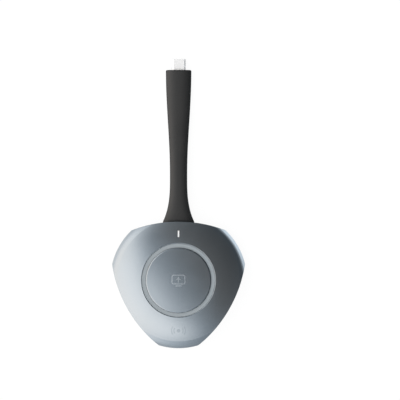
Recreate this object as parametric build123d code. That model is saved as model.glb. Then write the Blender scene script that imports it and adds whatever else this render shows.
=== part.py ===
from build123d import *
import math
import os

# Wireless display dongle: a domed three-sided puck with a press disc, a light ring and a flat
# soft tail that ends in a plug. Millimetres. The origin is on the disc's axis at the underside
# of the foot pad. +Z is up, out of the disc, and the tail runs along +Y.

# Body outline: three short sides on one circle, cut by three bulged long sides
body_radius = 41.0
wall_distance = 34.9
wall_bulge_radius = 79.2
wall_angles = (90, 210, 330)
corner_angles = (30, 150, 270)

# Body heights and walls. The top is nearly flat over the disc, rounder outside it, and rolls over
# at the short sides: three arcs in the round, each tangent to the next
body_height = 14.0
crown_radius = 280.0
shoulder_radius = 100.0
rim_radius = 6.0
parting_height = 4.6
front_wall = 1.8
rear_wall = 1.8
floor_thickness = 1.8
rear_rim_radius = 2.2
front_edge_round = 0.3
rear_edge_round = 0.6
foot_thickness = 1.2
foot_proud = 0.6
foot_inset = 3.6
foot_edge_round = 0.3
lip_height = 0.9
lip_thickness = 0.8
fit_gap = 0.1

# Press disc and its carrier
cap_radius = 19.3
cap_thickness = 1.2
cap_proud = 0.25
cap_bevel_width = 0.4
cap_bevel_drop = 0.15
cap_skirt_depth = 2.2
press_travel = 0.5
carrier_plate = 1.3
carrier_spigot = 0.6
carrier_wall = 1.4
carrier_flange_width = 1.7
carrier_flange_thickness = 0.9
carrier_rib_height = 0.75
carrier_rib_thickness = 0.9
carrier_rib_count = 6
carrier_nib_radius = 2.3
carrier_nib_height = 0.75
stop_gap = 0.05
tab_reach = 1.4
tab_width = 5.0
running_gap = 0.3

# Light ring and the frame that clamps it
ring_gap = 0.15
ring_width = 2.45
opening_gap = 0.1
opening_edge_round = 0.25
ring_recess = 0.35
ring_edge_bevel = 0.15
ring_flange_width = 2.2
ring_flange_thickness = 0.8
ring_foot_length = 1.6
ring_foot_depth = 1.0
ring_foot_count = 6
land_margin = 1.2
land_step = 0.25
frame_thickness = 1.2
frame_margin = 0.2
frame_lug_radius = 2.4
frame_screw_reach = 1.7
frame_screw_angles = (0, 120, 240)

# Status light
status_distance = 27.7
status_length = 3.8
status_width = 0.85
status_corner = 0.15
status_gap = 0.06
status_flange_side = 0.8
status_flange_thickness = 0.7
status_leg_width = 1.6
status_leg_depth = 1.2

# Main board and what is on it
board_thickness = 1.2
board_edge_gap = 0.6
led_length = 1.6
led_width = 0.8
led_height = 0.7
led_air_gap = 0.4
switch_side = 6.0
switch_base_height = 3.4
plunger_radius = 1.75
plunger_rise = 0.9
plunger_depth = 1.6
plunger_gap = 0.15
shield_length = 18.0
shield_width = 13.0
shield_height = 2.2
shield_sheet = 0.3
shield_offset = 11.5
processor_side = 9.0
processor_height = 1.0
memory_length = 8.0
memory_width = 5.0
memory_height = 0.9
radio_side = 6.0
radio_height = 0.9
flash_length = 6.0
flash_width = 5.0
flash_height = 1.0
crystal_length = 3.2
crystal_width = 2.5
crystal_height = 0.8
inductor_side = 5.0
inductor_height = 2.4
inductor_offset = 4.2
capacitor_length = 1.6
capacitor_width = 0.8
capacitor_height = 0.8
capacitor_pitch = 2.6
capacitor_count = 4
board_part_gap = 1.5
spreader_length = 24.0
spreader_width = 22.0
spreader_thickness = 0.5
thermal_pad_side = 14.0

# Antennas: stamped strips that stand behind the two free long sides
antenna_length = 15.0
antenna_height = 3.4
antenna_depth = 3.0
antenna_sheet = 0.4
antenna_slot_length = 10.0
antenna_slot_width = 0.9
antenna_foot_length = 2.2
antenna_foot_depth = 1.3
antenna_wall_gap = 5.6

# Screws: head radius, head height, shank radius and shank length of each size
housing_screw = (1.9, 1.1, 0.95, 5.2)
board_screw = (1.7, 0.9, 0.8, 2.6)
clamp_screw = (1.6, 0.8, 0.8, 3.4)
frame_screw = (1.3, 0.7, 0.7, 3.0)
screw_gap = 0.05
boss_wall = 1.6
recess_depth = 1.1
recess_seat = 1.2
housing_screw_inset = 7.5
board_screw_angles = (10, 170, 250, 290)
board_screw_distance = 27.5

# Tail: section sizes and what anchors it
tail_waist = 10.2
tail_tip_width = 15.05
tail_tip_reach = 63.0
tail_root_width = 18.8
tail_root_reach = 27.0
tail_root_thickness = 4.6
tail_waist_thickness = 4.4
tail_tip_thickness = 5.2
tail_edge_round = 1.7
tail_tip_bevel = 0.7
tail_sections = 15
tail_gap = 0.15
core_radius = 1.7
core_gap = 0.15
core_reach = 2.4
anchor_width = 22.0
anchor_depth = 4.0
anchor_height = 5.0
cradle_width = 1.2
cradle_spacing = 14.0
clamp_sheet = 0.7
clamp_depth = 3.0
clamp_step = 1.6
clamp_boss_wall = 1.0
tail_head_gap = 0.49

# Wires from the tail's root block to the board
wire_count = 4
wire_pitch = 1.5
wire_radius = 0.4
wire_offset = 5.0
header_length = 7.4
header_depth = 4.6
header_height = 2.6
header_wall = 0.5
wire_plug_reach = 0.4
wire_length = 4.4

# Plug
plug_width = 8.25
plug_thickness = 2.4
plug_reach = 6.5
plug_sheet = 0.3
plug_depth = 4.4
plug_gap = 0.1
plug_edge_round = 0.2
plug_cavity_depth = 13.4
plug_lining_gap = 0.04
plug_lining_setback = 0.5
plug_mouth_width = 6.8
plug_mouth_height = 1.0
plug_mouth_depth = 5.6
contact_count = 12
contact_pitch = 0.5
contact_width = 0.25
contact_thickness = 0.12
contact_length = 4.4
plug_board_width = 8.0
plug_board_length = 8.4
plug_board_thickness = 0.8

# Radii of the ring and the frame, from the disc outwards
ring_inner = cap_radius + ring_gap
ring_outer = ring_inner + ring_width
opening_radius = ring_outer + opening_gap
ring_flange_radius = ring_outer + ring_flange_width
land_radius = ring_flange_radius + land_margin
frame_radius = land_radius + frame_margin
frame_screw_distance = land_radius + frame_screw_reach
carrier_radius = cap_radius - fit_gap
carrier_flange_radius = carrier_radius + carrier_flange_width
frame_inner = carrier_flange_radius + running_gap
tab_radius = carrier_flange_radius + tab_reach
ring_foot_distance = (frame_inner + ring_flange_radius) / 2


# Centres of the three arcs of the top, as distance from the axis and height
crown_reach = ring_inner
crown_centre = body_height - crown_radius
shoulder_share = 1 - shoulder_radius / crown_radius
shoulder_centre_radius = crown_reach * shoulder_share
shoulder_centre = crown_centre + math.sqrt(crown_radius ** 2 - crown_reach ** 2) * shoulder_share
rim_centre_radius = body_radius - rim_radius
rim_centre_height = shoulder_centre + math.sqrt(
    (shoulder_radius - rim_radius) ** 2 - (rim_centre_radius - shoulder_centre_radius) ** 2
)
floor_top = foot_proud + floor_thickness


def crown_edge(inset):
    """Distance from the axis at which the crown passes into the shoulder, inset below the surface."""
    return crown_reach * (crown_radius - inset) / crown_radius


def dome_height(radius, inset=0.0):
    """Height of the dome, or of the surface that lies inset below it, at a distance from the axis."""
    if radius <= crown_edge(inset):
        return crown_centre + math.sqrt((crown_radius - inset) ** 2 - radius ** 2)
    run = radius - shoulder_centre_radius
    return shoulder_centre + math.sqrt((shoulder_radius - inset) ** 2 - run ** 2)


# Heights of the ring, the frame, the carrier, the switch and the board, from the cover downwards
land_height = dome_height(land_radius, front_wall) - land_step
ring_bottom = land_height - ring_flange_thickness
ring_top = dome_height(opening_radius) - ring_recess
frame_bottom = ring_bottom - frame_thickness
carrier_flange_top = ring_bottom - stop_gap
carrier_bottom = carrier_flange_top - carrier_flange_thickness
skirt_bottom = dome_height(cap_radius) + cap_proud - cap_skirt_depth
plate_top = skirt_bottom + carrier_spigot
plate_bottom = plate_top - carrier_plate
plunger_top = plate_bottom - carrier_nib_height
board_top = plunger_top - plunger_rise - switch_base_height
board_bottom = board_top - board_thickness

# Places of the screws and of what holds the tail
corner_distance = body_radius - housing_screw_inset
clamp_boss_radius = clamp_screw[2] + clamp_boss_wall
wall_inner = wall_distance - front_wall
anchor_outer = wall_inner - tail_gap - anchor_width ** 2 / (8 * wall_bulge_radius)
anchor_inner = anchor_outer - anchor_depth
anchor_middle = (anchor_outer + anchor_inner) / 2
clamp_boss_x = anchor_width / 2 + clamp_sheet + fit_gap + clamp_boss_radius
boss_wall_radius = wall_bulge_radius - front_wall - running_gap - clamp_boss_radius
clamp_boss_y = wall_distance - wall_bulge_radius + math.sqrt(boss_wall_radius ** 2 - clamp_boss_x ** 2)
clamp_reach = math.hypot(anchor_width / 2 + clamp_sheet + fit_gap, clamp_boss_y + clamp_depth / 2)
anchor_top = dome_height(clamp_reach, front_wall) - tail_head_gap - clamp_sheet
anchor_bottom = anchor_top - anchor_height
tail_height = anchor_top - anchor_height / 2
clamp_boss_height = anchor_top - clamp_step
board_cut = min(anchor_inner, clamp_boss_y - clamp_boss_radius) - running_gap
status_leg_y = frame_radius + running_gap + status_leg_depth / 2

# Route of the tail's centreline: level out of the body, then down to the plug's height
tail_route = [
    (0, 31.0, tail_height),
    (0, 52.0, tail_height),
    (0, 76.0, 4.85),
    (0, 101.0, 2.65),
    (0, 125.9, 2.65),
]
tip_distance = tail_route[-1][1]
tip_height = tail_route[-1][2]


def around(distance, angle):
    """X and Y of a point at a distance from the axis and an angle from +X."""
    return distance * math.cos(math.radians(angle)), distance * math.sin(math.radians(angle))


def post(radius, low, high, x=0.0, y=0.0):
    """Upright cylinder between two heights."""
    return Pos(x, y, low) * Cylinder(radius, high - low, align=(Align.CENTER, Align.CENTER, Align.MIN))


def block(x_size, y_size, low, high, x=0.0, y=0.0):
    """Upright box between two heights, centred on x and y."""
    return Pos(x, y, low) * Box(x_size, y_size, high - low, align=(Align.CENTER, Align.CENTER, Align.MIN))


def body_outline(inset):
    """Plan of the body, moved inwards by inset all round."""
    shape = Circle(body_radius - inset)
    for angle in wall_angles:
        x, y = around(wall_distance - wall_bulge_radius, angle)
        shape = shape & (Pos(x, y) * Circle(wall_bulge_radius - inset))
    return shape


def prism(outline, low, high):
    """Straight prism of a flat outline between two heights."""
    return extrude(Pos(0, 0, low) * outline, high - low)


def dome_line(radius, inset, lift=0.0):
    """Arcs of the dome from a distance from the axis in to the axis."""
    stops = [radius, crown_edge(inset), 0] if radius > crown_edge(inset) else [radius, 0]
    return [
        ThreePointArc(*[(r, dome_height(r, inset) + lift) for r in (outer, (outer + inner) / 2, inner)])
        for outer, inner in zip(stops, stops[1:])
    ]


def domed_disc(radius, low, inset, lift=0.0):
    """Round disc with a flat underside and the dome's curve on top."""
    profile = make_face([
        Line((0, low), (radius, low)),
        Line((radius, low), (radius, dome_height(radius, inset) + lift)),
        *dome_line(radius, inset, lift),
        Line((0, dome_height(0, inset) + lift), (0, low)),
    ])
    return revolve(Plane.XZ * profile, Axis.Z)


def puck(inset, low):
    """Front body moved inwards by inset: dome and rolled rim in the round, cut by the long sides."""
    side = body_radius - inset
    roll = rim_radius - inset
    across = rim_centre_radius - shoulder_centre_radius
    rise = rim_centre_height - shoulder_centre
    share = (shoulder_radius - inset) / (shoulder_radius - rim_radius)
    meet_radius = shoulder_centre_radius + across * share
    half_turn = math.atan2(rise, across) / 2
    roll_middle = (
        rim_centre_radius + roll * math.cos(half_turn),
        rim_centre_height + roll * math.sin(half_turn),
    )
    base = min(low, rim_centre_height) - roll
    profile = make_face([
        Line((0, base), (side, base)),
        Line((side, base), (side, rim_centre_height)),
        ThreePointArc((side, rim_centre_height), roll_middle, (meet_radius, dome_height(meet_radius, inset))),
        *dome_line(meet_radius, inset),
        Line((0, dome_height(0, inset)), (0, base)),
    ])
    return revolve(Plane.XZ * profile, Axis.Z) & prism(body_outline(inset), low, body_height)


def crisp_edges(solid, height):
    """Edges where the long sides meet the turned surfaces, without those at the given height."""
    return [
        edge
        for edge in solid.edges()
        if abs(edge.center().Z - height) > fit_gap
        and (edge.geom_type != GeomType.CIRCLE or abs(edge.radius - wall_bulge_radius) < fit_gap)
    ]


def status_window(gap):
    """Upright window of the status light, widened by gap all round."""
    return RectangleRounded(status_width + 2 * gap, status_length + 2 * gap, status_corner + gap)


def tail_opening():
    """Hole through both covers that the tail comes out of."""
    hole = RectangleRounded(
        tail_root_width + 2 * tail_gap,
        tail_root_thickness + 2 * tail_gap,
        tail_edge_round + tail_gap,
    )
    length = wall_distance - anchor_outer + rim_radius
    return extrude(Plane((0, anchor_outer, tail_height), x_dir=(1, 0, 0), z_dir=(0, 1, 0)) * hole, length)


def screw(size, high, x, y):
    """Screw with its head above the height given and its shank below it, as a plain round form."""
    head_radius, head_height, shank_radius, shank_length = size
    head = post(head_radius, high, high + head_height, x, y)
    return head + post(shank_radius, high - shank_length, high, x, y)


def screw_from_below(size, low, x, y):
    """The same screw turned over: its head hangs below the height given."""
    head_radius, head_height, shank_radius, shank_length = size
    head = post(head_radius, low - head_height, low, x, y)
    return head + post(shank_radius, low, low + shank_length, x, y)


def front_cover():
    outer = puck(0, parting_height)
    outer = fillet(crisp_edges(outer, parting_height), front_edge_round)
    cover = outer - puck(front_wall, parting_height - front_wall)
    cover += post(land_radius, land_height, body_height) & outer
    for angle in corner_angles:
        x, y = around(corner_distance, angle)
        boss_low = floor_top + recess_seat
        boss = post(housing_screw[2] + boss_wall, boss_low, body_height, x, y)
        cover += boss & puck(front_wall / 2, boss_low)
        cover -= post(housing_screw[2] + screw_gap, boss_low, boss_low + housing_screw[3], x, y)
    for angle in frame_screw_angles:
        x, y = around(frame_screw_distance, angle)
        cover += post(frame_screw[2] + boss_wall, ring_bottom, body_height, x, y) & outer
        hole_top = frame_bottom + frame_screw[3] + screw_gap
        cover -= post(frame_screw[2] + screw_gap, ring_bottom, hole_top, x, y)
    cover -= post(opening_radius, ring_bottom - frame_thickness, body_height)
    mouth_height = dome_height(opening_radius)
    mouth = [
        edge
        for edge in cover.edges()
        if abs(edge.center().Z - mouth_height) < stop_gap
        and abs(math.hypot(edge.center().X, edge.center().Y) - opening_radius) < stop_gap
    ]
    cover = fillet(mouth, opening_edge_round)
    slot = status_window(status_gap)
    cover -= prism(Pos(0, status_distance) * slot, parting_height, body_height)
    cover -= tail_opening()
    return cover


def rear_cover():
    profile = make_face([
        Line((0, foot_proud), (body_radius - rear_rim_radius, foot_proud)),
        RadiusArc(
            (body_radius - rear_rim_radius, foot_proud),
            (body_radius, foot_proud + rear_rim_radius),
            -rear_rim_radius,
        ),
        Line((body_radius, foot_proud + rear_rim_radius), (body_radius, parting_height)),
        Line((body_radius, parting_height), (0, parting_height)),
        Line((0, parting_height), (0, foot_proud)),
    ])
    outer = revolve(Plane.XZ * profile, Axis.Z) & prism(body_outline(0), foot_proud, parting_height)
    outer = fillet(crisp_edges(outer, parting_height), rear_edge_round)
    cover = outer - prism(body_outline(rear_wall), floor_top, parting_height)
    lip_outline = body_outline(rear_wall + fit_gap) - body_outline(rear_wall + fit_gap + lip_thickness)
    lip = prism(lip_outline, floor_top, parting_height + lip_height)
    cover += lip & puck(front_wall + fit_gap, floor_top)
    cover -= prism(body_outline(foot_inset - fit_gap), foot_proud, foot_thickness)

    for angle in corner_angles:
        x, y = around(corner_distance, angle)
        cover += post(housing_screw[0] + boss_wall, foot_thickness, floor_top + recess_seat, x, y)
        cover -= post(housing_screw[0] + fit_gap, foot_thickness, foot_thickness + recess_depth + fit_gap, x, y)
        cover -= post(housing_screw[2] + screw_gap, foot_thickness, floor_top + recess_seat, x, y)
    for angle in board_screw_angles:
        x, y = around(board_screw_distance, angle)
        cover += post(board_screw[2] + boss_wall, foot_thickness, board_bottom, x, y)
        hole_low = board_top - board_screw[3] - screw_gap
        cover -= post(board_screw[2] + screw_gap, hole_low, board_bottom, x, y)
    for side in (-1, 1):
        x = side * clamp_boss_x
        cover += post(clamp_boss_radius, foot_thickness, clamp_boss_height, x, clamp_boss_y)
        hole_low = clamp_boss_height + clamp_sheet - clamp_screw[3] - screw_gap
        cover -= post(clamp_screw[2] + screw_gap, hole_low, clamp_boss_height, x, clamp_boss_y)
        x = side * cradle_spacing / 2
        cover += block(cradle_width, anchor_depth, foot_thickness, anchor_bottom, x, anchor_middle)
    room = anchor_width + 2 * fit_gap
    cover -= block(room, 2 * anchor_depth, anchor_bottom, body_height, 0, anchor_inner + anchor_depth) \
        & prism(body_outline(rear_wall), anchor_bottom, body_height)
    cover -= tail_opening()
    return cover


def foot_pad():
    pad = prism(body_outline(foot_inset), 0, foot_thickness)
    under = [edge for edge in pad.edges() if edge.center().Z < fit_gap]
    return fillet(under, foot_edge_round)


def button_cap():
    flat_radius = cap_radius - cap_bevel_width
    flat_height = dome_height(flat_radius) + cap_proud
    edge_height = flat_height - cap_bevel_drop
    profile = make_face([
        Line((0, skirt_bottom), (cap_radius, skirt_bottom)),
        Line((cap_radius, skirt_bottom), (cap_radius, edge_height)),
        Line((cap_radius, edge_height), (flat_radius, flat_height)),
        *dome_line(flat_radius, 0, cap_proud),
        Line((0, dome_height(0) + cap_proud), (0, skirt_bottom)),
    ])
    cap = revolve(Plane.XZ * profile, Axis.Z)
    return cap - domed_disc(cap_radius - cap_thickness, skirt_bottom, cap_thickness, cap_proud)


def button_carrier():
    spigot_radius = cap_radius - cap_thickness - fit_gap
    carrier = post(carrier_radius, carrier_bottom, skirt_bottom)
    carrier += post(spigot_radius, carrier_bottom, plate_top)
    carrier -= post(carrier_radius - carrier_wall, carrier_bottom, plate_bottom)
    rim_low = plate_top
    rim_high = dome_height(spigot_radius, cap_thickness) + cap_proud - fit_gap
    carrier += post(spigot_radius, rim_low, rim_high) - post(spigot_radius - carrier_wall, rim_low, rim_high)
    flange = post(carrier_flange_radius, carrier_bottom, carrier_flange_top)
    for angle in corner_angles:
        x, y = around(tab_radius / 2, angle)
        tab = block(tab_radius, tab_width, carrier_bottom, carrier_flange_top)
        flange += Pos(x, y, 0) * Rot(0, 0, angle) * tab
    flange = flange & post(tab_radius, carrier_bottom, carrier_flange_top)
    carrier += flange - post(carrier_radius - carrier_wall, carrier_bottom, carrier_flange_top)
    rib_length = carrier_radius - carrier_wall / 2
    for number in range(carrier_rib_count):
        angle = 360 / carrier_rib_count * number
        x, y = around(rib_length / 2, angle)
        rib = block(rib_length, carrier_rib_thickness, plate_bottom - carrier_rib_height, plate_bottom)
        carrier += Pos(x, y, 0) * Rot(0, 0, angle) * rib
    carrier += post(carrier_nib_radius, plunger_top, plate_bottom)
    return carrier - post(carrier_nib_radius, plunger_top - carrier_rib_height, plunger_top)


def ring_feet(length, depth, low, high):
    """Upright bars in a circle: the ring's feet, the room for them, or the lights under them."""
    bars = []
    for number in range(ring_foot_count):
        angle = 360 / ring_foot_count * number
        x, y = around(ring_foot_distance, angle)
        bars.append(Pos(x, y, 0) * Rot(0, 0, angle) * block(depth, length, low, high))
    return bars


def light_ring():
    ring = post(ring_outer, ring_bottom, ring_top) + post(ring_flange_radius, ring_bottom, land_height)
    ring -= post(ring_inner, ring_bottom, ring_top)
    rims = [edge for edge in ring.edges() if edge.center().Z > ring_top - stop_gap
            and edge.geom_type == GeomType.CIRCLE]
    ring = chamfer(rims, ring_edge_bevel)
    for foot in ring_feet(ring_foot_length, ring_foot_depth, board_top + led_height + led_air_gap, ring_bottom):
        ring += foot
    return ring


def button_frame():
    frame = post(frame_radius, frame_bottom, ring_bottom)
    for angle in frame_screw_angles:
        x, y = around(frame_screw_distance, angle)
        lug = Pos(x, y) * Circle(frame_lug_radius)
        arm_x, arm_y = around(frame_screw_distance / 2, angle)
        arm = Pos(arm_x, arm_y) * Rot(0, 0, angle) * Rectangle(frame_screw_distance, 2 * frame_lug_radius)
        frame += prism(lug + arm, frame_bottom, ring_bottom)
    frame -= post(frame_inner, frame_bottom, ring_bottom)
    for angle in frame_screw_angles:
        x, y = around(frame_screw_distance, angle)
        frame -= post(frame_screw[2] + screw_gap, frame_bottom, ring_bottom, x, y)
    notch_radius = tab_radius + running_gap
    for angle in corner_angles:
        x, y = around(notch_radius / 2, angle)
        notch = block(notch_radius, tab_width + 2 * running_gap, frame_bottom, ring_bottom)
        frame -= Pos(x, y, 0) * Rot(0, 0, angle) * notch
    room_length = ring_foot_length + 2 * running_gap
    room_depth = ring_foot_depth + 2 * running_gap
    for room in ring_feet(room_length, room_depth, frame_bottom, ring_bottom):
        frame -= room
    return frame


def status_light_pipe():
    flange_length = status_distance + status_length / 2 + status_flange_side - frame_radius - running_gap
    flange_middle = frame_radius + running_gap + flange_length / 2
    flange_top = dome_height(flange_middle + flange_length / 2, front_wall) - fit_gap
    flange_low = flange_top - status_flange_thickness
    pipe = prism(Pos(0, status_distance) * status_window(0), flange_top, body_height)
    pipe = pipe & puck(status_gap, parting_height)
    flange_width = status_width + 2 * status_flange_side
    pipe += block(flange_width, flange_length, flange_low, flange_top, 0, flange_middle)
    leg_low = board_top + led_height + led_air_gap
    return pipe + block(status_leg_width, status_leg_depth, leg_low, flange_low, 0, status_leg_y)


def status_led():
    return block(led_length, led_width, board_top, board_top + led_height, 0, status_leg_y)


def ring_leds():
    return ring_feet(led_length, led_width, board_top, board_top + led_height)


def main_board():
    inset = rear_wall + fit_gap + lip_thickness + board_edge_gap
    board = prism(body_outline(inset), board_bottom, board_top)
    notch_radius = housing_screw[2] + boss_wall + board_edge_gap
    for angle in corner_angles:
        x, y = around(corner_distance, angle)
        out_x, out_y = around(corner_distance + body_radius / 2, angle)
        open_side = Pos(out_x, out_y) * Rot(0, 0, angle) * Rectangle(body_radius, 2 * notch_radius)
        board -= prism(Pos(x, y) * Circle(notch_radius) + open_side, board_bottom, board_top)
    for angle in board_screw_angles:
        x, y = around(board_screw_distance, angle)
        board -= post(board_screw[2] + screw_gap, board_bottom, board_top, x, y)
    cut_width = 2 * (clamp_boss_x + clamp_boss_radius + running_gap)
    return board - block(cut_width, body_radius, board_bottom, board_top, 0, board_cut + body_radius / 2)


def switch_base():
    base = block(switch_side, switch_side, board_top, board_top + switch_base_height)
    bore_low = board_top + switch_base_height - plunger_depth - press_travel - plunger_gap
    return base - post(plunger_radius + plunger_gap, bore_low, board_top + switch_base_height)


def switch_plunger():
    return post(plunger_radius, board_top + switch_base_height - plunger_depth, plunger_top)


def shield(side):
    x = side * shield_offset
    can = block(shield_width, shield_length, board_top, board_top + shield_height, x)
    inside = block(
        shield_width - 2 * shield_sheet,
        shield_length - 2 * shield_sheet,
        board_top,
        board_top + shield_height - shield_sheet,
        x,
    )
    return can - inside


def processor_chip():
    y = -(shield_length / 2 - shield_sheet - board_part_gap / 2 - processor_side / 2)
    return block(processor_side, processor_side, board_top, board_top + processor_height, -shield_offset, y)


def memory_chip():
    y = shield_length / 2 - shield_sheet - board_part_gap / 2 - memory_width / 2
    return block(memory_length, memory_width, board_top, board_top + memory_height, -shield_offset, y)


def radio_chip():
    return block(radio_side, radio_side, board_top, board_top + radio_height, shield_offset)


def flash_chip():
    y = switch_side / 2 + board_part_gap + flash_length / 2
    return block(flash_width, flash_length, board_top, board_top + flash_height, 0, y)


def crystal():
    y = -(switch_side / 2 + board_part_gap + crystal_width / 2)
    return block(crystal_length, crystal_width, board_top, board_top + crystal_height, 0, y)


def inductor_y():
    """Row of the two inductors, past the ends of the shield cans."""
    return -(shield_length / 2 + board_part_gap + inductor_side / 2)


def power_inductors():
    coils = []
    for side in (-1, 1):
        coil = block(inductor_side, inductor_side, board_top, board_top + inductor_height,
                     side * inductor_offset, inductor_y())
        coils.append(coil)
    return coils


def capacitors():
    y = inductor_y() - inductor_side / 2 - board_part_gap
    row = []
    for number in range(capacitor_count):
        x = capacitor_pitch * (number - (capacitor_count - 1) / 2)
        row.append(block(capacitor_width, capacitor_length, board_top, board_top + capacitor_height, x, y))
    return row


def antenna(angle):
    upright = block(antenna_length, antenna_sheet, 0, antenna_height, 0, -antenna_sheet / 2)
    top = block(antenna_length, antenna_depth, antenna_height - antenna_sheet, antenna_height,
                0, -antenna_depth / 2)
    top -= block(antenna_slot_length, antenna_slot_width, antenna_height - antenna_sheet, antenna_height,
                 0, -antenna_depth / 2)
    strip = upright + top
    for side in (-1, 1):
        x = side * (antenna_length - antenna_foot_length) / 2
        strip += block(antenna_foot_length, antenna_foot_depth, 0, antenna_sheet, x, -antenna_foot_depth / 2)
    distance = wall_distance - antenna_wall_gap
    return Rot(0, 0, angle - wall_angles[0]) * Pos(0, distance, board_top) * strip


def heat_spreader():
    return block(spreader_length, spreader_width, floor_top, floor_top + spreader_thickness, -shield_offset)


def thermal_pad():
    return block(thermal_pad_side, thermal_pad_side, floor_top + spreader_thickness, board_bottom,
                 -shield_offset)


def board_screws():
    return [screw(board_screw, board_top, *around(board_screw_distance, angle)) for angle in board_screw_angles]


def housing_screws():
    low = foot_thickness + recess_depth + fit_gap
    return [screw_from_below(housing_screw, low, *around(corner_distance, angle)) for angle in corner_angles]


def frame_screws():
    spots = [around(frame_screw_distance, angle) for angle in frame_screw_angles]
    return [screw_from_below(frame_screw, frame_bottom, x, y) for x, y in spots]


def clamp_screws():
    high = clamp_boss_height + clamp_sheet
    return [screw(clamp_screw, high, side * clamp_boss_x, clamp_boss_y) for side in (-1, 1)]


def route_radii():
    """Radius of the arc at each inner point of the tail's route: as large as its two runs allow."""
    points = [Vector(*point) for point in tail_route]
    radii = []
    for before, here, after in zip(points, points[1:], points[2:]):
        first = here - before
        second = after - here
        turn = math.radians(first.get_angle(second))
        radii.append(0.45 * min(first.length, second.length) / math.tan(turn / 2))
    return radii


def route_path(start, end):
    """The tail's route between two distances along its straight first and last runs."""
    points = list(tail_route)
    points[0] = (0, start, tail_route[0][2])
    points[-1] = (0, end, tail_route[-1][2])
    return FilletPolyline(points, radius=route_radii())


def tail_width(distance):
    """Width of the tail: wide at the plug, easing to a waist, then flaring into the body."""
    from_tip = min(tip_distance - distance, tail_tip_reach)
    tip_part = (tail_tip_width - tail_waist) * (1 + math.cos(math.pi * from_tip / tail_tip_reach)) / 2
    from_wall = min(max(distance - wall_distance, 0), tail_root_reach)
    root_part = (tail_root_width - tail_waist) * (1 - from_wall / tail_root_reach) ** 3
    return tail_waist + tip_part + root_part


def tail_thickness(distance):
    """Thickness of the tail, blended in the same way as its width."""
    from_tip = min(tip_distance - distance, tail_tip_reach)
    tip_part = (tail_tip_thickness - tail_waist_thickness) * (1 + math.cos(math.pi * from_tip / tail_tip_reach)) / 2
    from_wall = min(max(distance - wall_distance, 0), tail_root_reach)
    root_part = (tail_root_thickness - tail_waist_thickness) * (1 - from_wall / tail_root_reach) ** 3
    return tail_waist_thickness + tip_part + root_part


def tail_section(path, share, trim=0.0):
    """Rounded section of the tail, square to its route."""
    spot = path.position_at(share)
    plane = Plane(spot, x_dir=(1, 0, 0), z_dir=path.tangent_at(share))
    width = tail_width(spot.Y) - 2 * trim
    thickness = tail_thickness(spot.Y) - 2 * trim
    return plane * RectangleRounded(width, thickness, tail_edge_round - trim)


def tail_core(radius, start, end):
    """Round tube along the tail's route."""
    path = route_path(start, end)
    plane = Plane(path.position_at(0), z_dir=path.tangent_at(0))
    return sweep(plane * Circle(radius), path)


def plug_slot(width, thickness, start, length):
    """Round-ended bar along the plug's axis."""
    plane = Plane((0, start, tip_height), x_dir=(1, 0, 0), z_dir=(0, 1, 0))
    return extrude(plane * SlotOverall(width, thickness), length)


def strap_jacket():
    path = route_path(anchor_outer - fit_gap, tip_distance - tail_tip_bevel)
    shares = [(number / tail_sections) ** 1.5 for number in range(tail_sections + 1)]
    jacket = loft([tail_section(path, share) for share in shares])
    tip = route_path(anchor_outer - fit_gap, tip_distance)
    bevel_start = 1 - tail_tip_bevel / tip.length
    jacket += loft([tail_section(tip, bevel_start), tail_section(tip, 1, tail_tip_bevel)], ruled=True)
    jacket += block(anchor_width, anchor_depth, anchor_bottom, anchor_top, 0, anchor_middle)
    bore_start = anchor_outer - core_reach
    bore_end = tip_distance - plug_cavity_depth + core_gap
    jacket -= tail_core(core_radius + core_gap, bore_start, bore_end)
    cavity_start = tip_distance - plug_cavity_depth
    width = plug_width + 2 * plug_gap
    return jacket - plug_slot(width, plug_thickness + 2 * plug_gap, cavity_start, plug_cavity_depth)


def cable_core():
    end = tip_distance - plug_cavity_depth + core_gap
    return tail_core(core_radius, anchor_outer - core_reach, end)


def strap_clamp():
    step_x = anchor_width / 2 + fit_gap
    foot_x = clamp_boss_x + clamp_boss_radius
    foot_low = clamp_boss_height
    foot_high = clamp_boss_height + clamp_sheet
    top_low = anchor_top
    top_high = anchor_top + clamp_sheet
    half = [
        (step_x + clamp_sheet, top_high),
        (step_x + clamp_sheet, foot_high),
        (foot_x, foot_high),
        (foot_x, foot_low),
        (step_x, foot_low),
        (step_x, top_low),
    ]
    other = [(-x, z) for x, z in reversed(half)]
    profile = make_face(Polyline(*half, *other, close=True))
    clamp = extrude(Plane((0, clamp_boss_y + clamp_depth / 2, 0), x_dir=(1, 0, 0), z_dir=(0, -1, 0)) * profile,
                    clamp_depth)
    for side in (-1, 1):
        clamp -= post(clamp_screw[2] + screw_gap, foot_low, foot_high, side * clamp_boss_x, clamp_boss_y)
    return clamp


wire_height = board_top + header_height / 2
header_back = anchor_inner - wire_length - wire_plug_reach


def wire_harness():
    wires = []
    for number in range(wire_count):
        x = -wire_offset + wire_pitch * (number - (wire_count - 1) / 2)
        plane = Plane((x, anchor_inner, wire_height), x_dir=(1, 0, 0), z_dir=(0, -1, 0))
        wires.append(extrude(plane * Circle(wire_radius), wire_length))
    return wires


def board_header():
    y = header_back - header_depth / 2
    body = block(header_length, header_depth, board_top, board_top + header_height, -wire_offset, y)
    room = block(
        header_length - 2 * header_wall,
        header_depth - header_wall,
        board_top + header_wall,
        board_top + header_height - header_wall,
        -wire_offset,
        y + header_wall / 2,
    )
    return body - room


def wire_plug():
    length = header_depth - header_wall + wire_plug_reach
    y = header_back + wire_plug_reach - length / 2
    width = header_length - 2 * header_wall - 2 * fit_gap
    low = board_top + header_wall
    high = board_top + header_height - header_wall - fit_gap
    return block(width, length, low, high, -wire_offset, y)


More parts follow.
